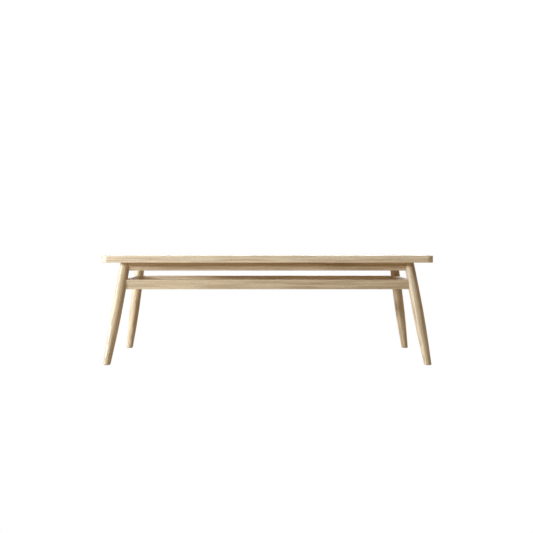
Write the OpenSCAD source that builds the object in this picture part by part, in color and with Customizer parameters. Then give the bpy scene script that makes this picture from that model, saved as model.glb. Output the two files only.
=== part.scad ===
// Low oak communion table: a glued-up top on a frame of four turned, splayed legs,
// joined by aprons under the top and by a box of lower rails.
// Millimetres. Origin on the floor under the middle of the top, +X along the table,
// -Y is the front, +Z up. "Left" is -X.

/* [Top] */
// Length of the top, along X
top_length = 1295; // [1150:5:1450]
// Width of the top, along Y
top_width = 520; // [480:10:600]
// Thickness of the top
top_thickness = 27; // [24:1:34]
// Plan radius of the four corners
corner_radius = 28; // [5:1:60]

/* [Legs] */
// Height of the top's upper face above the floor
table_height = 427; // [410:1:460]
// Lean of every leg, the same outwards along X and along Y, in degrees
leg_splay = 9.15; // [7:0.05:10.5]
// Diameter of a leg at its thickest point
leg_belly_d = 41.6; // [40:0.2:46]
// Distance of the thickest point from the floor, measured along the leg
leg_belly_at = 235; // [220:5:260]
// Radius of the shallow arc that a leg is turned to above its thickest point
leg_upper_r = 6900; // [4500:100:9000]
// Radius of the arc below it
leg_lower_r = 3600; // [3000:100:6000]
// Below this distance from the floor the arc runs out into a straight taper
leg_taper_at = 80; // [20:5:140]
// Distance from the end of the top in to the middle of a foot
foot_inset_end = 19; // [16:0.5:40]
// Distance from the side of the top in to the middle of a foot
foot_inset_side = 16.5; // [16:0.5:40]

/* [Frame] */
// Depth of the aprons under the top
apron_depth = 33; // [30:1:40]
// Depth of the lower rails
rail_depth = 38; // [30:1:44]
// Open height between an apron and the rail under it
rail_gap = 35.5; // [25:0.5:50]
// Thickness of the aprons and rails
frame_thickness = 20; // [18:1:22]

/* [Feet] */
// Diameter of a floor glide
glide_d = 22; // [18:1:23]
// Thickness of a floor glide, most of it sunk into the foot
glide_thickness = 3; // [2.5:0.5:4]
// How far a floor glide stands out of the foot
glide_show = 1.2; // [0.8:0.2:2]

/* [Hidden] */

// Colours
oak = "#cdb68c";
dark_oak = "#a8875a";
steel = "#b9bcc0";
nylon = "#4a4138";

round_fn = 96;
small_fn = 32;
past = 2; // how far a cutting solid runs past the face that it opens

// Heights
underside_z = table_height - top_thickness;
apron_z = underside_z - apron_depth;
rail_z = apron_z - rail_gap - rail_depth;
apron_mid_z = apron_z + apron_depth / 2;
rail_mid_z = rail_z + rail_depth / 2;

// Legs: the axis of the rear right leg, which the other three mirror
foot_x = top_length / 2 - foot_inset_end;
foot_y = top_width / 2 - foot_inset_side;
turn_x = atan(sin(leg_splay));
turn_y = -leg_splay;
leg_past = 25; // the turning blank runs this far past the floor and the top, and is trimmed
leg_run = underside_z / cos(leg_splay) / cos(turn_x);
leg_steps = 24;

function axis_x(z) = foot_x - z * tan(leg_splay);
function axis_y(z) = foot_y - z * tan(leg_splay);
leg_taper = (leg_belly_at - leg_taper_at) / leg_lower_r;
function leg_arc(s, r) = leg_belly_d / 2 - pow(s - leg_belly_at, 2) / (2 * r);
function leg_radius(s) =
    s > leg_belly_at ? leg_arc(s, leg_upper_r)
    : s > leg_taper_at ? leg_arc(s, leg_lower_r)
    : leg_arc(leg_taper_at, leg_lower_r) - (leg_taper_at - s) * leg_taper;

// Joints
glue_gap = 0.15; // between a round leg and the shoulder that is scribed to it
tenon_thickness = 10;
tenon_stop = 7.5; // a tenon ends this far short of the leg's axis, clear of its neighbour
mortise_spare = 0.5; // glue space past the end of a tenon
rail_shoulder = 5; // above and below the tenon of a rail
apron_shoulder = 4; // below the tenon of an apron
apron_haunch = 9; // above it, so that the mortise stays closed at the leg's top

// Buttons: wooden cleats that hold the top down and let it shrink and swell
button_width = 28;
button_length = 30;
button_space = 1; // between the block and the apron
tongue_thickness = 7;
tongue_length = 8;
groove_top = 10; // below the upper edge of the apron
groove_height = 9;
groove_depth = 9;
groove_width = 44;
button_z = underside_z - groove_top - tongue_thickness;
button_screw_in = 16; // from the apron to the screw
end_button_spread = 60;

// Cross bearer: keeps the middle of the top flat
bearer_thickness = 22;
bearer_lift = 2; // its lower edge stays above the aprons' lower edges
bearer_tenon = 8;
bearer_screw_spread = 110;
bearer_z = apron_z + bearer_lift;

// Screws
screw_length = 30;
screw_d = 4;
screw_head_d = 8;
screw_head_h = 2;
screw_point = 5;
screw_play = 0.2; // diameter of the hole over that of the screw
driver_d = 3;
driver_depth = 1.4;

// Glides
nail_d = 2.5;
nail_length = 20;
nail_head_d = 7;
nail_head_h = 1;
nail_sink = 0.6; // height of the nail's head above the floor
glide_edge = 0.8;
glide_play = 0.4; // diameter of the recess over that of the glide

// Top boards
board_count = 6;
board_width = top_width / board_count;

// Where the buttons stand, along the long aprons and along the short ones
inner_long = axis_y(apron_mid_z) - frame_thickness / 2;
inner_short = axis_x(apron_mid_z) - frame_thickness / 2;
long_pitch = inner_short / 2.5;
long_places = [for (i = [-1.5:1:1.5]) i * long_pitch];
short_places = [-end_button_spread, end_button_spread];

module mirrored(side_x, side_y) {
    mirror([side_x < 0 ? 1 : 0, 0, 0])
        mirror([0, side_y < 0 ? 1 : 0, 0])
            children();
}

// A box centred in X and Y, standing on z
module block(size, at, z) {
    translate([at[0], at[1], z + size[2] / 2])
        cube(size, center = true);
}

// The turned leg, over-long at both ends, grown all round by grow
module leg_turning(grow) {
    stations = [for (i = [0:leg_steps]) -leg_past + i * (leg_run + 2 * leg_past) / leg_steps];
    outline = [for (s = stations) [leg_radius(s) + grow, s]];
    translate([foot_x, foot_y, 0])
        rotate([turn_x, turn_y, 0])
            rotate_extrude($fn = round_fn)
                polygon(concat([[0, stations[0]]], outline, [[0, stations[leg_steps]]]));
}

// The two mortises of one leg for the pair of bars at one height
module corner_mortises(mid_z, low, high) {
    stop = tenon_stop - mortise_spare;
    height = high - low;
    reach = leg_belly_d;
    block([reach, tenon_thickness, height],
        [axis_x(mid_z) - stop - reach / 2, axis_y(mid_z)], low);
    block([tenon_thickness, reach, height],
        [axis_x(mid_z), axis_y(mid_z) - stop - reach / 2], low);
}

module leg(side_x, side_y) {
    color(oak)
        mirrored(side_x, side_y)
            difference() {
                intersection() {
                    leg_turning(0);
                    block([4 * leg_belly_d, 4 * leg_belly_d, underside_z - glide_show],
                        [axis_x(underside_z / 2), axis_y(underside_z / 2)], glide_show);
                }
                corner_mortises(rail_mid_z, rail_z + rail_shoulder,
                    rail_z + rail_depth - rail_shoulder);
                corner_mortises(apron_mid_z, apron_z + apron_shoulder,
                    underside_z - apron_haunch);
                translate([foot_x, foot_y, 0]) {
                    cylinder(d = glide_d + glide_play, h = glide_thickness, $fn = round_fn);
                    cylinder(d = nail_d + screw_play, h = nail_length + past, $fn = small_fn);
                }
            }
}

// A bar from leg to leg on the +Y side, or with across = true on the +X side:
// its ends are scribed to the round legs, and a core runs on into them as tenons
module frame_bar(across, z, depth, shoulder_low, shoulder_high) {
    mid_z = z + depth / 2;
    span = across ? axis_y(mid_z) : axis_x(mid_z);
    at = across ? [axis_x(mid_z), 0] : [0, axis_y(mid_z)];
    core = span - tenon_stop;
    core_depth = depth - shoulder_low - shoulder_high;
    difference() {
        block(across ? [frame_thickness, 2 * span, depth] : [2 * span, frame_thickness, depth],
            at, z);
        for (side = [-1, 1])
            mirrored(across ? 1 : side, across ? side : 1)
                leg_turning(glue_gap);
    }
    block(across ? [tenon_thickness, 2 * core, core_depth] : [2 * core, tenon_thickness, core_depth],
        at, z + shoulder_low);
}

module groove(across, place) {
    inner = across ? inner_short : inner_long;
    deep = groove_depth + past;
    from_middle = inner + groove_depth - deep / 2;
    block(across ? [deep, groove_width, groove_height] : [groove_width, deep, groove_height],
        across ? [from_middle, place] : [place, from_middle],
        underside_z - groove_top - groove_height);
}

module bearer_tenons(extra) {
    length = inner_long + bearer_tenon + extra;
    block([tenon_thickness, 2 * length, apron_depth - bearer_lift - apron_shoulder - apron_haunch],
        [0, 0], bearer_z + apron_shoulder);
}

module long_apron(side_y) {
    color(oak)
        mirrored(1, side_y)
            difference() {
                frame_bar(false, apron_z, apron_depth, apron_shoulder, apron_haunch);
                for (place = long_places)
                    groove(false, place);
                bearer_tenons(mortise_spare);
            }
}

module short_apron(side_x) {
    color(oak)
        mirrored(side_x, 1)
            difference() {
                frame_bar(true, apron_z, apron_depth, apron_shoulder, apron_haunch);
                for (place = short_places)
                    groove(true, place);
            }
}

module rail(across, side_x, side_y) {
    color(oak)
        mirrored(side_x, side_y)
            frame_bar(across, rail_z, rail_depth, rail_shoulder, rail_shoulder);
}

// One screw, driven upwards, its head's face at z = 0
module screw(play) {
    d = screw_d + play;
    shank = screw_length - screw_point;
    difference() {
        union() {
            cylinder(d1 = screw_head_d + play, d2 = d, h = screw_head_h, $fn = small_fn);
            cylinder(d = d, h = shank, $fn = small_fn);
            translate([0, 0, shank])
                cylinder(d1 = d, d2 = screw_d / 4 + play, h = screw_point, $fn = small_fn);
        }
        if (play == 0)
            translate([0, 0, -past])
                cylinder(d = driver_d, h = past + driver_depth, $fn = 6);
    }
}

// Puts a screw at every button and at both ends of the cross bearer
module at_screws() {
    for (side = [-1, 1]) {
        for (place = long_places)
            translate([place, side * (inner_long - button_screw_in), button_z])
                children();
        for (place = short_places)
            translate([side * (inner_short - button_screw_in), place, button_z])
                children();
        translate([0, side * bearer_screw_spread, button_z])
            children();
    }
}

module top_screws() {
    color(steel)
        at_screws()
            screw(0);
}

module cross_bearer() {
    color(dark_oak)
        difference() {
            union() {
                block([bearer_thickness, 2 * inner_long, apron_depth - bearer_lift],
                    [0, 0], bearer_z);
                bearer_tenons(0);
            }
            for (side = [-1, 1])
                translate([0, side * bearer_screw_spread, 0]) {
                    translate([0, 0, bearer_z - past])
                        cylinder(d = screw_head_d + 1, h = button_z - bearer_z + past, $fn = small_fn);
                    translate([0, 0, button_z])
                        screw(screw_play);
                }
        }
}

// A button, its tongue in the apron's groove: on the +Y side, or with across on the +X side
module button(across, side, place) {
    inner = across ? inner_short : inner_long;
    body = button_length - button_space;
    bar = body + button_space + tongue_length;
    turn = across ? -90 : 0;
    color(dark_oak)
        mirrored(across ? side : 1, across ? 1 : side)
            translate(across ? [0, place, 0] : [place, 0, 0])
                rotate([0, 0, turn])
                    difference() {
                        union() {
                            block([button_width, body, underside_z - button_z],
                                [0, inner - button_length + body / 2], button_z);
                            block([button_width, bar, tongue_thickness],
                                [0, inner - button_length + bar / 2], button_z);
                        }
                        translate([0, inner - button_screw_in, button_z])
                            screw(screw_play);
                    }
}

// Plan outline of the whole top
module top_plan() {
    spread_x = top_length / 2 - corner_radius;
    spread_y = top_width / 2 - corner_radius;
    square([top_length, 2 * spread_y], center = true);
    square([2 * spread_x, top_width], center = true);
    for (x = [-spread_x, spread_x], y = [-spread_y, spread_y])
        translate([x, y])
            circle(r = corner_radius, $fn = round_fn);
}

// Boards run along X and are numbered from the front
module top_board(number) {
    middle = (number - (board_count + 1) / 2) * board_width;
    color(oak)
        difference() {
            translate([0, 0, underside_z])
                linear_extrude(top_thickness)
                    intersection() {
                        top_plan();
                        translate([0, middle])
                            square([top_length + past, board_width], center = true);
                    }
            at_screws()
                screw(screw_play);
        }
}

module glide(side_x, side_y) {
    r = glide_d / 2;
    hole_r = (nail_d + screw_play) / 2;
    head_r = (nail_head_d + screw_play) / 2;
    head_top = nail_sink + nail_head_h;
    color(nylon)
        mirrored(side_x, side_y)
            translate([foot_x, foot_y, 0])
                rotate_extrude($fn = round_fn)
                    polygon([
                        [head_r, 0],
                        [r - glide_edge, 0],
                        [r, glide_edge],
                        [r, glide_thickness],
                        [hole_r, glide_thickness],
                        [hole_r, head_top],
                        [head_r, head_top]
                    ]);
}

module glide_nails() {
    color(steel)
        for (side_x = [-1, 1], side_y = [-1, 1])
            mirrored(side_x, side_y)
                translate([foot_x, foot_y, nail_sink]) {
                    cylinder(d = nail_head_d, h = nail_head_h, $fn = small_fn);
                    cylinder(d = nail_d, h = nail_length - nail_sink, $fn = small_fn);
                }
}

top_board(1);  // top_board_1
top_board(2);  // top_board_2
top_board(3);  // top_board_3
top_board(4);  // top_board_4
top_board(5);  // top_board_5
top_board(6);  // top_board_6
leg(-1, -1);  // leg_front_left
leg(1, -1);  // leg_front_right
leg(-1, 1);  // leg_rear_left
leg(1, 1);  // leg_rear_right
long_apron(-1);  // apron_front
long_apron(1);  // apron_rear
short_apron(-1);  // apron_left
short_apron(1);  // apron_right
rail(false, 1, -1);  // rail_front
rail(false, 1, 1);  // rail_rear
rail(true, -1, 1);  // rail_left
rail(true, 1, 1);  // rail_right
cross_bearer();
button(false, -1, long_places[0]);  // button_front_1
button(false, -1, long_places[1]);  // button_front_2
button(false, -1, long_places[2]);  // button_front_3
button(false, -1, long_places[3]);  // button_front_4
button(false, 1, long_places[0]);  // button_rear_1
button(false, 1, long_places[1]);  // button_rear_2
button(false, 1, long_places[2]);  // button_rear_3
button(false, 1, long_places[3]);  // button_rear_4
button(true, -1, short_places[0]);  // button_left_1
button(true, -1, short_places[1]);  // button_left_2
button(true, 1, short_places[0]);  // button_right_1
button(true, 1, short_places[1]);  // button_right_2
top_screws();
glide(-1, -1);  // glide_front_left
glide(1, -1);  // glide_front_right
glide(-1, 1);  // glide_rear_left
glide(1, 1);  // glide_rear_right
glide_nails();
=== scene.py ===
import math
import random

import bmesh
import bpy
from mathutils import Matrix, Vector


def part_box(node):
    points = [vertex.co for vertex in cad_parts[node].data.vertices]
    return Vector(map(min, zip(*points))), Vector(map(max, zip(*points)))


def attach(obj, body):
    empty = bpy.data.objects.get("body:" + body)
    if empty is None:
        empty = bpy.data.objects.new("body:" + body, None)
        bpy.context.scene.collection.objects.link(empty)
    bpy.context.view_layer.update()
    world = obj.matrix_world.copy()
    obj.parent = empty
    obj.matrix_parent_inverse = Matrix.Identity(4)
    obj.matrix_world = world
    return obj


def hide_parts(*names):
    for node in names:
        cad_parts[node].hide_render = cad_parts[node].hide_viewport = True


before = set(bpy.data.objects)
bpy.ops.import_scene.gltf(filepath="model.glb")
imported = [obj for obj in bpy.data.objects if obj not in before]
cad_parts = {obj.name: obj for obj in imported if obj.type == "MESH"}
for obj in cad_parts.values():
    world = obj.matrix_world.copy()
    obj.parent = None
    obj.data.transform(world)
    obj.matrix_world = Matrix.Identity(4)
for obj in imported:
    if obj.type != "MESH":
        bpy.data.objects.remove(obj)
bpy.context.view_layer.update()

MM = 0.001
ROOT = "root"
DRAWS = random.Random(11)

# Shape of the turned legs, as in the CAD source
SPLAY = math.radians(9.15)
LEG_BELLY_R = 20.8 * MM
LEG_BELLY_AT = 235 * MM
LEG_UPPER_R = 6900 * MM
LEG_LOWER_R = 3600 * MM
LEG_TAPER_AT = 80 * MM
LEG_COLUMNS = 96
LEG_RINGS = 90

# Eased edges
TOP_EASE = 1.8 * MM
BAR_EASE = 1.6 * MM
FOOT_EASE = 1.5 * MM
EASE_STEPS = 4
SUPPORT = 5 * MM  # distance of the loop that keeps a flat face flat
CORNER_RADIUS = 28 * MM
CORNER_STEPS = 14
EMBED = 0.3 * MM  # a bar's end reaches this far into the round leg
PAST_THE_LEG = 30 * MM  # the search for the leg's surface starts this far beyond the bar

# Room round a button's tongue in its groove
GROOVE_DEEPER = 1 * MM
GROOVE_WIDER = 8 * MM
GROOVE_HEIGHT = 7 * MM
GROOVE_LOWER = 2 * MM
GROOVE_OPEN = 2 * MM  # the cutter stands out of the apron's face by this much

# Camera
CAMERA_LENS_MM = 50
CAMERA_DISTANCE = 3.128
CAMERA_HEIGHT = 0.466
CAMERA_SIDE = -0.003
CAMERA_DOWN = math.radians(1.613)

# Studio
FLOOR_SIZE = 60
SKY_ABOVE = 0.95
SKY_BEHIND = 0.5
SKY_ROUND = 0.03
KEY_COLOUR = (0.93, 1.0, 1.15)
FILL_COLOUR = (1.0, 0.93, 0.82)
NEAR_COLOUR = (0.8, 0.95, 1.35)


# ---------------------------------------------------------------- mesh helpers

def new_piece(name, mesh):
    piece = bpy.data.objects.new(name, mesh)
    bpy.context.collection.objects.link(piece)
    return piece


def loft(name, rings):
    """A closed mesh through rings of equally many points, with a flat cap on each end."""
    count = len(rings[0])
    points = [p for ring in rings for p in ring]
    faces = []
    for k in range(len(rings) - 1):
        low, high = k * count, (k + 1) * count
        for i in range(count):
            j = (i + 1) % count
            faces.append((low + i, low + j, high + j, high + i))
    faces.append(tuple(reversed(range(count))))
    faces.append(tuple(range(len(points) - count, len(points))))
    mesh = bpy.data.meshes.new(name)
    mesh.from_pydata(points, [], faces)
    shell = bmesh.new()
    shell.from_mesh(mesh)
    bmesh.ops.recalc_face_normals(shell, faces=shell.faces)
    shell.to_mesh(mesh)
    shell.free()
    return new_piece(name, mesh)


def smooth(piece, angle=35):
    mesh = piece.data
    mesh.shade_smooth()
    mesh.set_sharp_from_angle(angle=math.radians(angle))
    weighted = piece.modifiers.new("flat_faces", "WEIGHTED_NORMAL")
    weighted.keep_sharp = True
    weighted.weight = 80


def arc(steps):
    """Quarter-turn angles from 0 to 90 degrees."""
    return [math.pi / 2 * i / steps for i in range(steps + 1)]


def write_grain(piece, run, across, pith, arris=None):
    """Stores where each point lay in the tree: along the trunk, and across it from the pith.

    run is the grain's direction and across one direction square to it. pith is the offset of the
    piece's middle from the pith, along across and along the third direction, in metres.
    """
    run, across = Vector(run).normalized(), Vector(across).normalized()
    third = run.cross(across)
    mesh = piece.data
    middle = sum((Vector(c) for c in piece.bound_box), Vector()) / 8
    start = DRAWS.uniform(0, 40)
    runs = [start + (v.co - middle).dot(run) for v in mesh.vertices]
    places = [(along, (v.co - middle).dot(across) + pith[0], (v.co - middle).dot(third) + pith[1])
              for along, v in zip(runs, mesh.vertices)]
    wear = [arris(v.co) if arris else 0.0 for v in mesh.vertices]
    store(mesh, "grain", "FLOAT_VECTOR", "vector", places)
    store(mesh, "run", "FLOAT_VECTOR", "vector", [tuple(run)] * len(mesh.vertices))
    store(mesh, "arris", "FLOAT", "value", wear)


def store(mesh, name, kind, field, values):
    attribute = mesh.attributes.new(name, kind, "POINT")
    for item, value in zip(attribute.data, values):
        setattr(item, field, value)


def finish_piece(piece, material, slot, *nodes):
    piece.data.materials.clear()
    piece.data.materials.append(material)
    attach(piece, ROOT)
    if nodes:
        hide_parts(*nodes)


# ------------------------------------------------------------------ materials

def socket_of(tree, kind, options=None, **inputs):
    """Adds a node. An input called _2 is socket number 2; other underscores stand for spaces."""
    made = tree.nodes.new(kind)
    for key, value in (options or {}).items():
        setattr(made, key, value)
    for key, value in inputs.items():
        target = made.inputs[int(key[1:])] if key[0] == "_" else made.inputs[key.replace("_", " ")]
        if isinstance(value, bpy.types.NodeSocket):
            tree.links.new(value, target)
        else:
            target.default_value = value
    return made


def calc(tree, operation, a, b=0.0, clamp=False):
    options = {"operation": operation, "use_clamp": clamp}
    return socket_of(tree, "ShaderNodeMath", options, _0=a, _1=b).outputs[0]


def stretch(tree, vector, scale):
    return socket_of(tree, "ShaderNodeVectorMath", {"operation": "MULTIPLY"}, _0=vector, _1=scale).outputs[0]


def noise(tree, vector, scale, detail=2.0, roughness=0.5, colour=False):
    made = socket_of(tree, "ShaderNodeTexNoise", Vector=vector, Scale=scale, Detail=detail,
                     Roughness=roughness)
    return made.outputs["Color" if colour else "Fac"]


def span(tree, value, low, high, to_low=0.0, to_high=1.0):
    """value carried smoothly from low..high to to_low..to_high."""
    made = socket_of(tree, "ShaderNodeMapRange", {"interpolation_type": "SMOOTHSTEP"})
    tree.links.new(value, made.inputs["Value"])
    for key, number in (("From Min", low), ("From Max", high), ("To Min", to_low), ("To Max", to_high)):
        made.inputs[key].default_value = number
    return made.outputs["Result"]


def blend_colour(tree, factor, a, b):
    made = tree.nodes.new("ShaderNodeMix")
    made.data_type = "RGBA"
    for target, value in ((made.inputs[0], factor), (made.inputs[6], a), (made.inputs[7], b)):
        if isinstance(value, bpy.types.NodeSocket):
            tree.links.new(value, target)
        elif isinstance(value, tuple):
            target.default_value = (*value, 1)
        else:
            target.default_value = value
    return made.outputs[2]


def new_material(name):
    material = bpy.data.materials.new(name)
    material.use_nodes = True
    tree = material.node_tree
    tree.nodes.clear()
    shader = tree.nodes.new("ShaderNodeBsdfPrincipled")
    output = tree.nodes.new("ShaderNodeOutputMaterial")
    tree.links.new(shader.outputs[0], output.inputs[0])
    return material, tree, shader


def oak_material(name, late, early, pore, rings_per_m=430):
    """Ring-porous oak as a solid: rings, pores, rays and fibres follow the tree's own coordinates."""
    material, tree, shader = new_material(name)
    place = socket_of(tree, "ShaderNodeAttribute", {"attribute_name": "grain"}).outputs["Vector"]
    run = socket_of(tree, "ShaderNodeAttribute", {"attribute_name": "run"}).outputs["Vector"]
    arris = socket_of(tree, "ShaderNodeAttribute", {"attribute_name": "arris"}).outputs["Fac"]

    # The trunk isn't straight: the rings waver along it
    sway = noise(tree, stretch(tree, place, (1.1, 4.5, 4.5)), 1.0, 2.0, 0.45, colour=True)
    centred = socket_of(tree, "ShaderNodeVectorMath", {"operation": "SUBTRACT"}, _0=sway, _1=(0.5, 0.5, 0.5))
    sway = stretch(tree, centred.outputs[0], (0.0, 0.028, 0.028))
    tree_place = socket_of(tree, "ShaderNodeVectorMath", {"operation": "ADD"}, _0=place, _1=sway).outputs[0]
    crossing = stretch(tree, tree_place, (0.0, 1.0, 1.0))
    radius = socket_of(tree, "ShaderNodeVectorMath", {"operation": "LENGTH"}, _0=crossing).outputs["Value"]

    # Year rings of uneven width, each with a tone of its own
    uneven = noise(tree, stretch(tree, tree_place, (0.35, 22.0, 22.0)), 1.0, 2.0, 0.5)
    count = calc(tree, "MULTIPLY", radius, rings_per_m)
    phase = calc(tree, "ADD", count, calc(tree, "MULTIPLY", uneven, 7.0))
    ring = calc(tree, "FRACT", phase)
    year = calc(tree, "FLOOR", phase)
    year_noise = socket_of(tree, "ShaderNodeTexWhiteNoise", {"noise_dimensions": "1D"}, W=year)
    year_tone = year_noise.outputs["Value"]
    early_band = calc(tree, "MULTIPLY", span(tree, ring, 0.0, 0.08), span(tree, ring, 0.2, 0.6, 1.0, 0.0))

    # Bands a few millimetres wide, fine fibres, and slow changes along the plank
    bands = noise(tree, stretch(tree, tree_place, (4.5, 120.0, 120.0)), 1.0, 3.0, 0.5)
    fibres = noise(tree, stretch(tree, tree_place, (9.0, 900.0, 900.0)), 1.0, 3.0, 0.6)
    slow = noise(tree, stretch(tree, tree_place, (3.0, 26.0, 26.0)), 1.0, 3.0, 0.55)

    # Pores are short tubes along the grain, crowded into the early wood
    tubes = noise(tree, stretch(tree, tree_place, (110.0, 2300.0, 2300.0)), 1.0, 1.0, 0.4)
    crowd = calc(tree, "MULTIPLY", early_band, 0.13)
    pores = span(tree, calc(tree, "ADD", tubes, crowd), 0.66, 0.72)

    # Rays are thin sheets that run from the pith outwards
    parts = socket_of(tree, "ShaderNodeSeparateXYZ", _0=tree_place)
    turn = calc(tree, "ARCTAN2", parts.outputs[2], parts.outputs[1])
    sheet = socket_of(tree, "ShaderNodeCombineXYZ", _0=calc(tree, "MULTIPLY", parts.outputs[0], 55.0),
                      _1=calc(tree, "MULTIPLY", radius, 110.0), _2=calc(tree, "MULTIPLY", turn, 170.0))
    rays = span(tree, noise(tree, sheet.outputs[0], 1.0, 1.0, 0.5), 0.64, 0.72)

    # Sawn across the fibres the wood drinks more finish and looks darker
    facing = socket_of(tree, "ShaderNodeNewGeometry").outputs["Normal"]
    endwise = socket_of(tree, "ShaderNodeVectorMath", {"operation": "DOT_PRODUCT"}, _0=facing, _1=run)
    end_grain = span(tree, calc(tree, "ABSOLUTE", endwise.outputs["Value"]), 0.5, 0.97)

    depth = calc(tree, "MULTIPLY", early_band, 0.72)
    depth = calc(tree, "ADD", depth, span(tree, bands, 0.32, 0.68, -0.48, 0.62))
    depth = calc(tree, "ADD", depth, span(tree, fibres, 0.25, 0.75, -0.12, 0.16))
    depth = calc(tree, "ADD", depth, span(tree, slow, 0.3, 0.7, -0.28, 0.3))
    depth = calc(tree, "ADD", depth, calc(tree, "MULTIPLY", year_tone, 0.26), clamp=True)
    colour = blend_colour(tree, depth, late, early)
    ray_pale = tuple(min(1, c * 1.16) for c in late)
    colour = blend_colour(tree, calc(tree, "MULTIPLY", rays, 0.3), colour, ray_pale)
    colour = blend_colour(tree, calc(tree, "MULTIPLY", pores, 0.62), colour, pore)
    darker = tuple(c * 0.72 for c in early)
    colour = blend_colour(tree, calc(tree, "MULTIPLY", end_grain, 0.42), colour, darker)
    rubbed = tuple(min(1, c * 1.1) for c in late)
    colour = blend_colour(tree, calc(tree, "MULTIPLY", arris, 0.22), colour, rubbed)
    tree.links.new(colour, shader.inputs["Base Color"])

    gloss = calc(tree, "ADD", calc(tree, "MULTIPLY", pores, 0.25), span(tree, bands, 0.3, 0.7, 0.38, 0.47))
    gloss = calc(tree, "SUBTRACT", gloss, calc(tree, "MULTIPLY", rays, 0.07))
    gloss = calc(tree, "ADD", gloss, calc(tree, "MULTIPLY", end_grain, 0.15))
    gloss = calc(tree, "SUBTRACT", gloss, calc(tree, "MULTIPLY", arris, 0.06), clamp=True)
    tree.links.new(gloss, shader.inputs["Roughness"])

    height = calc(tree, "SUBTRACT", calc(tree, "MULTIPLY", fibres, 0.35), pores)
    height = calc(tree, "SUBTRACT", height, calc(tree, "MULTIPLY", early_band, 0.3))
    bump = socket_of(tree, "ShaderNodeBump", Height=height, Strength=0.35, Distance=0.12 * MM)
    tree.links.new(bump.outputs[0], shader.inputs["Normal"])
    shader.inputs["IOR"].default_value = 1.48
    return material


def plain_wood_material(name, run_scale, light, dark):
    """Unfinished beech for the hidden cleats: short brown flecks along the grain."""
    material, tree, shader = new_material(name)
    place = socket_of(tree, "ShaderNodeTexCoord").outputs["Object"]
    waves = noise(tree, stretch(tree, place, tuple(14 + 150 * (1 - s) for s in run_scale)), 1.0, 3.0, 0.55)
    flecks = noise(tree, stretch(tree, place, tuple(260 + 1500 * (1 - s) for s in run_scale)), 1.0, 1.0, 0.4)
    flecks = span(tree, flecks, 0.62, 0.7)
    colour = blend_colour(tree, span(tree, waves, 0.3, 0.7), light, dark)
    colour = blend_colour(tree, calc(tree, "MULTIPLY", flecks, 0.5), colour, tuple(c * 0.55 for c in dark))
    tree.links.new(colour, shader.inputs["Base Color"])
    tree.links.new(span(tree, waves, 0.2, 0.8, 0.55, 0.68), shader.inputs["Roughness"])
    bump = socket_of(tree, "ShaderNodeBump", Height=calc(tree, "SUBTRACT", waves, flecks), Strength=0.25,
                     Distance=0.1 * MM)
    tree.links.new(bump.outputs[0], shader.inputs["Normal"])
    return material


def steel_material():
    """Zinc-plated steel: a cloudy plate with fine turning marks."""
    material, tree, shader = new_material("zinc_steel")
    place = socket_of(tree, "ShaderNodeTexCoord").outputs["Object"]
    cloud = noise(tree, place, 420.0, 3.0, 0.6)
    marks = noise(tree, stretch(tree, place, (300.0, 300.0, 6000.0)), 1.0, 2.0, 0.5)
    plate = blend_colour(tree, cloud, (0.52, 0.53, 0.55), (0.7, 0.7, 0.68))
    tree.links.new(plate, shader.inputs["Base Color"])
    tree.links.new(span(tree, cloud, 0.2, 0.8, 0.28, 0.46), shader.inputs["Roughness"])
    bump = socket_of(tree, "ShaderNodeBump", Height=marks, Strength=0.2, Distance=0.05 * MM)
    tree.links.new(bump.outputs[0], shader.inputs["Normal"])
    shader.inputs["Metallic"].default_value = 1.0
    return material


def nylon_material():
    """Brown moulded nylon, a little scuffed."""
    material, tree, shader = new_material("brown_nylon")
    place = socket_of(tree, "ShaderNodeTexCoord").outputs["Object"]
    grit = noise(tree, place, 2600.0, 2.0, 0.5)
    scuffs = noise(tree, stretch(tree, place, (700.0, 90.0, 300.0)), 1.0, 3.0, 0.6)
    brown = blend_colour(tree, scuffs, (0.045, 0.032, 0.022), (0.1, 0.075, 0.055))
    tree.links.new(brown, shader.inputs["Base Color"])
    tree.links.new(span(tree, scuffs, 0.3, 0.7, 0.42, 0.62), shader.inputs["Roughness"])
    bump = socket_of(tree, "ShaderNodeBump", Height=grit, Strength=0.3, Distance=0.08 * MM)
    tree.links.new(bump.outputs[0], shader.inputs["Normal"])
    return material


# ------------------------------------------------------------------- the legs

def leg_radius(s):
    """Radius of a leg at a distance s from the floor along its axis: two arcs and a straight taper."""
    if s < LEG_TAPER_AT:
        slope = (LEG_BELLY_AT - LEG_TAPER_AT) / LEG_LOWER_R
        return leg_radius(LEG_TAPER_AT) - (LEG_TAPER_AT - s) * slope
    bend = LEG_UPPER_R if s > LEG_BELLY_AT else LEG_LOWER_R
    return LEG_BELLY_R - (s - LEG_BELLY_AT) ** 2 / (2 * bend)


def leg_axis(side_x, side_y):
    """The middle of the foot on the floor, and the direction from there up the leg."""
    name = f"glide_{'front' if side_y < 0 else 'rear'}_{'left' if side_x < 0 else 'right'}"
    low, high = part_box(name)
    foot = Vector(((low.x + high.x) / 2, (low.y + high.y) / 2, 0))
    lean = math.tan(SPLAY)
    return foot, Vector((-side_x * lean, -side_y * lean, 1)).normalized()


def leg_point(foot, up, out, s):
    return foot + up * s + out * leg_radius(s)


def station_at(foot, up, out, z):
    """How far along the axis the leg's side, in the direction out, is at height z."""
    s = z / up.z
    for _ in range(6):
        s += (z - leg_point(foot, up, out, s).z) / up.z
    return s


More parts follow.
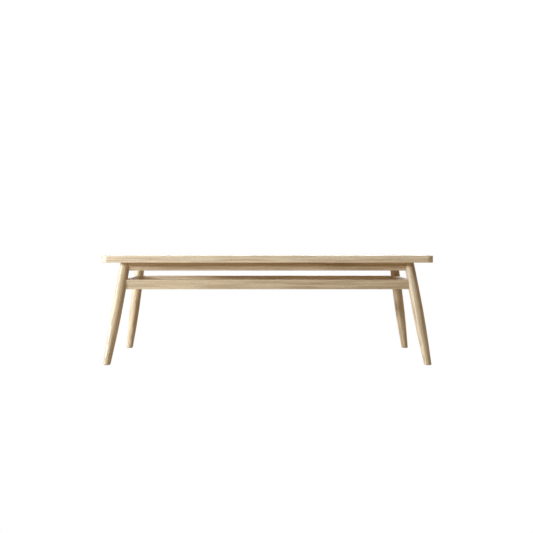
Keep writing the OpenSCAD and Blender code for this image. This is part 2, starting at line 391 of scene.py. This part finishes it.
def make_leg(side_x, side_y, material):
    place = f"{'front' if side_y < 0 else 'rear'}_{'left' if side_x < 0 else 'right'}"
    low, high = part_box(f"leg_{place}")
    foot, up = leg_axis(side_x, side_y)
    side = up.cross(Vector((0, 1, 0))).normalized()
    outs = [(Matrix.Rotation(2 * math.pi * i / LEG_COLUMNS, 3, up) @ side) for i in range(LEG_COLUMNS)]
    sole = foot + up * (low.z / up.z)

    rings = []
    for angle in arc(EASE_STEPS):
        z = low.z + FOOT_EASE * (1 - math.sin(angle))
        inset = FOOT_EASE * (1 - math.cos(angle))
        rim = [leg_point(foot, up, out, station_at(foot, up, out, z)) for out in outs]
        rings.append([p + (sole - p).normalized() * inset for p in rim])
    rings.reverse()
    inner = [p + (sole - p).normalized() * FOOT_EASE for p in rings[0]]
    rings.insert(0, [Vector((p.x, p.y, low.z)) for p in inner])

    starts = [station_at(foot, up, out, low.z + FOOT_EASE) for out in outs]
    ends = [station_at(foot, up, out, high.z) for out in outs]
    for k in range(1, LEG_RINGS + 1):
        share = k / LEG_RINGS
        rings.append([leg_point(foot, up, out, a + (b - a) * share) for out, a, b in zip(outs, starts, ends)])

    leg = loft(f"leg_{place}_turned", rings)
    smooth(leg)
    bearing = DRAWS.uniform(0, 2 * math.pi)
    distance = DRAWS.uniform(0.07, 0.13)
    pith = (distance * math.cos(bearing), distance * math.sin(bearing))
    write_grain(leg, up, side, pith, lambda p: span_down(p.z - low.z, 0, 2 * FOOT_EASE))
    finish_piece(leg, material, "leg_oak", f"leg_{place}")


def span_down(value, low, high):
    """1 at or below low, 0 at or above high."""
    return max(0.0, min(1.0, (high - value) / (high - low)))


# ---------------------------------------------------------- aprons and rails

def inside_leg(point, foot, up):
    s = (point - foot).dot(up)
    return (point - foot - up * s).length < leg_radius(s)


def scribed_end(point, axis, side, reach, foot, up):
    """Moves point along the bar to where the round leg's surface is, and EMBED further."""
    near, far = 0.5 * reach, reach
    for _ in range(40):
        middle = (near + far) / 2
        point[axis] = side * middle
        if inside_leg(point, foot, up):
            far = middle
        else:
            near = middle
    point[axis] = side * (far + EMBED)
    return point


def eased_section(half_wide, half_high, ease):
    """A rectangle with eased corners and a support point past each, as (across, up) pairs."""
    pairs = []
    for quarter, (sx, sy) in enumerate(((1, 1), (-1, 1), (-1, -1), (1, -1))):
        corner = Vector((sx * (half_wide - ease), sy * (half_high - ease)))
        angles = [quarter * math.pi / 2 + a for a in arc(EASE_STEPS)]
        rim = [corner + ease * Vector((math.cos(a), math.sin(a))) for a in angles]
        first, last = rim[0], rim[-1]
        before = first + SUPPORT * Vector((math.sin(angles[0]), -math.cos(angles[0])))
        after = last + SUPPORT * Vector((-math.sin(angles[-1]), math.cos(angles[-1])))
        pairs += [before, *rim, after]
    return pairs


def make_bar(node, axis, slot, material, pith, slots=()):
    """A straight bar along X (axis 0) or Y (axis 1), its ends scribed to the two legs it joins."""
    low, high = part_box(node)
    other = 1 - axis
    middle = (low + high) / 2
    side = 1 if middle[other] > 0 else -1
    section = eased_section((high[other] - low[other]) / 2, (high.z - low.z) / 2, BAR_EASE)
    rings = []
    for end in (-1, 1):
        foot, up = leg_axis(*((end, side) if axis == 0 else (side, end)))
        ring = []
        for across, rise in section:
            point = Vector((0, 0, middle.z + rise))
            point[other] = middle[other] + across
            ring.append(scribed_end(point, axis, end, high[axis] + PAST_THE_LEG, foot, up))
        rings.append(ring)
    inner = [[p.lerp(q, t) for p, q in zip(*rings)] for t in (0.02, 0.98)]
    bar = loft(f"{node}_eased", [rings[0], *inner, rings[1]])
    if slots:
        cut_slots(bar, slots)
    smooth(bar)
    run, across = Vector(), Vector()
    run[axis], across[other] = 1, 1

    def worn(p):
        beside = abs(abs(p[other] - middle[other]) - (high[other] - low[other]) / 2)
        above = abs(abs(p.z - middle.z) - (high.z - low.z) / 2)
        return span_down(math.hypot(beside, above), BAR_EASE * 0.6, BAR_EASE * 1.8)

    write_grain(bar, run, across, pith, worn)
    finish_piece(bar, material, slot, node)


def cut_slots(bar, boxes):
    """Cuts the grooves that the buttons' tongues sit in."""
    for low, high in boxes:
        bpy.ops.mesh.primitive_cube_add(size=1, location=(low + high) / 2)
        cutter = bpy.context.object
        cutter.scale = high - low
        bpy.context.view_layer.update()
        cut = bar.modifiers.new("groove", "BOOLEAN")
        cut.operation = "DIFFERENCE"
        cut.solver = "EXACT"
        cut.object = cutter
        with bpy.context.temp_override(object=bar, active_object=bar, selected_objects=[bar]):
            bpy.ops.object.modifier_apply(modifier=cut.name)
        bpy.data.objects.remove(cutter)


def groove_boxes(prefix, count, axis):
    """Each groove is wider and deeper than the tongue of the button in it."""
    boxes = []
    for number in range(1, count + 1):
        low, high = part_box(f"{prefix}_{number}")
        low, high = low.copy(), high.copy()
        other = 1 - axis
        side = 1 if (low[other] + high[other]) > 0 else -1
        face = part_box(prefix.replace("button", "apron"))
        inner = face[0][other] if side > 0 else face[1][other]
        tip = (high[other] if side > 0 else low[other]) + side * GROOVE_DEEPER
        low[other], high[other] = sorted((inner - side * GROOVE_OPEN, tip))
        low[axis] -= GROOVE_WIDER
        high[axis] += GROOVE_WIDER
        high.z = low.z + GROOVE_HEIGHT
        low.z -= GROOVE_LOWER
        boxes.append((low, high))
    return boxes


# -------------------------------------------------------------- the top boards

def board_outline(top_low, top_high, y_low, y_high, inset, seam_inset):
    """Plan outline of one board: rounded where the top has a corner, straight along the seams."""
    half_x = (top_high.x - top_low.x) / 2 - inset
    radius = CORNER_RADIUS - inset
    points = []

    def side(y_edge, is_outer, direction):
        """The board's edge at one side in order of rising angle, direction -1 front or +1 rear."""
        if not is_outer:
            y = y_edge - direction * seam_inset
            return [Vector((direction * half_x, y)), Vector((-direction * half_x, y))]
        y = y_edge - direction * inset
        swept = []
        for i in range(2 * CORNER_STEPS + 2):
            first = i <= CORNER_STEPS
            step = i if first else i - CORNER_STEPS - 1
            angle = math.pi / 2 * step / CORNER_STEPS
            if first:
                centre = Vector((direction * (half_x - radius), y - direction * radius))
                swept.append(centre + direction * radius * Vector((math.cos(angle), math.sin(angle))))
            else:
                centre = Vector((-direction * (half_x - radius), y - direction * radius))
                swept.append(centre + direction * radius * Vector((-math.sin(angle), math.cos(angle))))
        return swept

    points += side(y_high, y_high > top_high.y - MM, 1)
    points += side(y_low, y_low < top_low.y + MM, -1)
    return points


def make_board(number, top_low, top_high, material, pith):
    node = f"top_board_{number}"
    low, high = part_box(node)
    levels = [(SUPPORT + TOP_EASE, SUPPORT, low.z)]
    for angle in arc(EASE_STEPS):
        levels.append((TOP_EASE * (1 - math.sin(angle)), 0, low.z + TOP_EASE * (1 - math.cos(angle))))
    levels.append((0, 0, low.z + TOP_EASE + SUPPORT))
    levels += [(inset, seam, low.z + high.z - z) for inset, seam, z in reversed(levels)]
    rings = []
    for inset, seam, z in levels:
        outline = board_outline(top_low, top_high, low.y, high.y, inset, seam)
        rings.append([Vector((p.x, p.y, z)) for p in outline])
    board = loft(f"{node}_planed", rings)
    smooth(board)

    def worn(p):
        beside = min(top_high.x - abs(p.x), top_high.y - abs(p.y))
        above = min(p.z - low.z, high.z - p.z)
        return span_down(math.hypot(beside, above), TOP_EASE * 0.6, TOP_EASE * 2)

    write_grain(board, (1, 0, 0), (0, 1, 0), pith, worn)
    finish_piece(board, material, "top_oak", node)


# ------------------------------------------------------------------ the object

def build_object():
    top_oak = oak_material("oak_top", (0.745, 0.645, 0.46), (0.51, 0.41, 0.258), (0.26, 0.185, 0.11))
    frame_oak = oak_material("oak_frame", (0.65, 0.548, 0.362), (0.435, 0.338, 0.20), (0.22, 0.15, 0.085))
    top_low, top_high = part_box("top_board_1")[0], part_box("top_board_6")[1]
    # Where each board's middle lay from the pith: a near pith gives arched figure, a far one straight
    board_piths = [(0.012, 0.085), (0.16, 0.03), (-0.01, 0.06),
                   (-0.02, -0.11), (0.13, -0.06), (-0.018, 0.075)]
    for number, pith in enumerate(board_piths, 1):
        make_board(number, top_low, top_high, top_oak, pith)
    for side_x in (-1, 1):
        for side_y in (-1, 1):
            make_leg(side_x, side_y, frame_oak)
    for place, axis, grooves in (("front", 0, 4), ("rear", 0, 4), ("left", 1, 2), ("right", 1, 2)):
        slots = groove_boxes(f"button_{place}", grooves, axis)
        pith = (DRAWS.uniform(-0.02, 0.02), DRAWS.uniform(0.09, 0.16))
        make_bar(f"apron_{place}", axis, "frame_oak", frame_oak, pith, slots)
        pith = (DRAWS.uniform(-0.02, 0.02), -DRAWS.uniform(0.09, 0.16))
        make_bar(f"rail_{place}", axis, "frame_oak", frame_oak, pith)

    beech = {axis: plain_wood_material(f"beech_{axis}", run, (0.62, 0.44, 0.28), (0.48, 0.31, 0.18))
             for axis, run in (("x", (1, 0, 0)), ("y", (0, 1, 0)))}
    steel, nylon = steel_material(), nylon_material()
    for node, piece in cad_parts.items():
        if node.startswith(("button_left", "button_right")):
            dress(piece, beech["x"])
        elif node.startswith("button") or node == "cross_bearer":
            dress(piece, beech["y"])
        elif node in ("top_screws", "glide_nails"):
            dress(piece, steel)
        elif node.startswith("glide"):
            dress(piece, nylon)


def dress(cad_piece, material):
    cad_piece.data.materials.clear()
    cad_piece.data.materials.append(material)


# ------------------------------------------------------------------- the stage

def make_camera():
    camera = bpy.data.objects.new("camera", bpy.data.cameras.new("camera"))
    bpy.context.collection.objects.link(camera)
    camera.data.lens = CAMERA_LENS_MM
    camera.location = (CAMERA_SIDE, -CAMERA_DISTANCE, CAMERA_HEIGHT)
    camera.rotation_euler = (math.pi / 2 - CAMERA_DOWN, 0, 0)
    bpy.context.scene.camera = camera


def white_to_the_camera(tree, seen, lighting):
    """The studio's white sweep: plain white where the camera looks at it, dimmer as a light source."""
    mixer = tree.nodes.new("ShaderNodeMixShader")
    path = tree.nodes.new("ShaderNodeLightPath")
    tree.links.new(path.outputs["Is Camera Ray"], mixer.inputs[0])
    tree.links.new(lighting, mixer.inputs[1])
    tree.links.new(seen, mixer.inputs[2])
    return mixer.outputs[0]


def make_floor():
    """White to the camera, and pale warm stone to the light, so that shaded wood stays warm."""
    bpy.ops.mesh.primitive_plane_add(size=FLOOR_SIZE)
    floor = bpy.context.object
    floor.name = "floor"
    material = bpy.data.materials.new("pale_floor")
    material.use_nodes = True
    tree = material.node_tree
    tree.nodes.clear()
    seen = socket_of(tree, "ShaderNodeEmission", Color=(1, 1, 1, 1), Strength=1.0).outputs[0]
    matte = socket_of(tree, "ShaderNodeBsdfDiffuse", Color=(0.56, 0.43, 0.31, 1)).outputs[0]
    under = tree.nodes.new("ShaderNodeBsdfTransparent").outputs[0]
    side = socket_of(tree, "ShaderNodeNewGeometry").outputs["Backfacing"]
    glass_below = tree.nodes.new("ShaderNodeMixShader")
    output = tree.nodes.new("ShaderNodeOutputMaterial")
    tree.links.new(side, glass_below.inputs[0])
    tree.links.new(white_to_the_camera(tree, seen, matte), glass_below.inputs[1])
    tree.links.new(under, glass_below.inputs[2])
    tree.links.new(glass_below.outputs[0], output.inputs[0])
    floor.data.materials.append(material)


def make_world():
    """The sky that lights the table: bright overhead, less behind, dim elsewhere. White to the camera."""
    world = bpy.data.worlds.new("studio")
    bpy.context.scene.world = world
    world.use_nodes = True
    tree = world.node_tree
    tree.nodes.clear()
    seen = socket_of(tree, "ShaderNodeBackground", Color=(1, 1, 1, 1), Strength=1.0).outputs[0]
    direction = socket_of(tree, "ShaderNodeTexCoord").outputs["Generated"]
    parts = socket_of(tree, "ShaderNodeSeparateXYZ", _0=direction)
    behind = span(tree, parts.outputs[1], 0.2, 0.9, 0.0, SKY_BEHIND)
    above = span(tree, parts.outputs[2], 0.2, 0.9, SKY_ROUND, SKY_ABOVE)
    sky = socket_of(tree, "ShaderNodeBackground", Color=(*FILL_COLOUR, 1))
    tree.links.new(calc(tree, "ADD", behind, above), sky.inputs["Strength"])
    output = tree.nodes.new("ShaderNodeOutputWorld")
    tree.links.new(white_to_the_camera(tree, seen, sky.outputs[0]), output.inputs[0])


def softbox(name, target, azimuth, elevation, distance, size, watts, colour):
    """An area lamp aimed at target. Azimuth 0 is to the left of the table and 90 in front of it."""
    lamp = bpy.data.objects.new(name, bpy.data.lights.new(name, "AREA"))
    bpy.context.collection.objects.link(lamp)
    lamp.data.shape = "RECTANGLE"
    lamp.data.size, lamp.data.size_y = size
    lamp.data.energy = watts
    lamp.data.color = colour
    turn, rise = math.radians(azimuth), math.radians(elevation)
    towards = Vector((-math.cos(turn) * math.cos(rise), -math.sin(turn) * math.cos(rise), math.sin(rise)))
    lamp.location = Vector(target) + distance * towards
    lamp.rotation_euler = towards.to_track_quat("Z", "Y").to_euler()
    lamp.visible_camera = False


def make_lights():
    near_end = (-0.3, -0.22, 0.36)
    left_corner = (-0.6, -0.2, 0.41)
    softbox("key", near_end, 9, 4.5, 4.5, (1.4, 0.25), 96, KEY_COLOUR)
    softbox("second_key", near_end, 26, 8, 4.0, (0.5, 0.3), 143, KEY_COLOUR)
    softbox("front_fill", near_end, 52, 13, 2.6, (0.6, 0.3), 12, KEY_COLOUR)
    softbox("near_cool", left_corner, 30, 6, 1.3, (0.3, 0.2), 2.4, NEAR_COLOUR)
    softbox("low_backlight", (0, 0, 0.43), -90, 9, 3.0, (4.2, 0.7), 46, KEY_COLOUR)


bpy.context.scene.view_settings.view_transform = "Standard"
make_camera()
make_world()
make_floor()
make_lights()
build_object()
